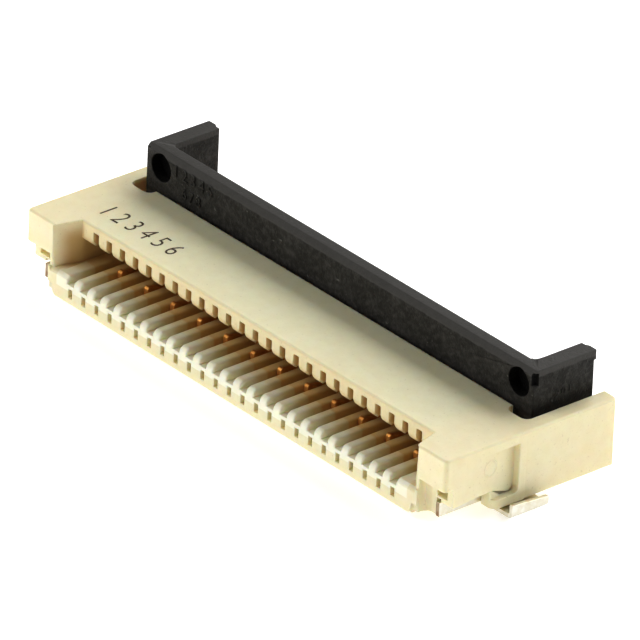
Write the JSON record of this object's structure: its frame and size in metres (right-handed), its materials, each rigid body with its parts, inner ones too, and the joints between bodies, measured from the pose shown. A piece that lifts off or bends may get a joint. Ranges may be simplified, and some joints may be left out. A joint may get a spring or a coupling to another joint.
{
  "type": "flat cable connector",
  "caption": "Low board-mount socket for a flat flexible cable, with a row of fine contacts and a flip lever at the rear that clamps the cable.",
  "frame": {"origin": "middle of the whole connector's footprint with the lever open, on the board's surface", "axes": "+X along the row of contacts, to the right when looking into the mouth; -Y out of the mouth that takes the cable; +Z away from the board"},
  "size_m": [0.0164, 0.0056, 0.0031],
  "materials": {
    "housing": "moulded, ivory",
    "lever": "moulded, black, fine spark texture",
    "contacts": "stamped copper alloy, thin gold plating",
    "hold_downs": "stamped copper alloy, dull tin plating"
  },
  "bodies": {
    "body": {"housing": "housing", "contact_01": "contacts", "contact_02": "contacts", "contact_03": "contacts", "contact_04": "contacts", "contact_05": "contacts", "contact_06": "contacts", "contact_07": "contacts", "contact_08": "contacts", "contact_09": "contacts", "contact_10": "contacts", "contact_11": "contacts", "contact_12": "contacts", "contact_13": "contacts", "contact_14": "contacts", "contact_15": "contacts", "contact_16": "contacts", "contact_17": "contacts", "contact_18": "contacts", "contact_19": "contacts", "contact_20": "contacts", "contact_21": "contacts", "contact_22": "contacts", "contact_23": "contacts", "contact_24": "contacts", "contact_25": "contacts", "hold_down_left": "hold_downs", "hold_down_right": "hold_downs"},
    "flip_lever": {"lever": "lever"}
  },
  "joints": [
    {"name": "lever_flip", "type": "hinge", "parent": "body", "child": "flip_lever", "pos_m": [0, 0.00084, 0.0016], "axis": [-1, 0, 0], "range_deg": [0, 90]}
  ]
}
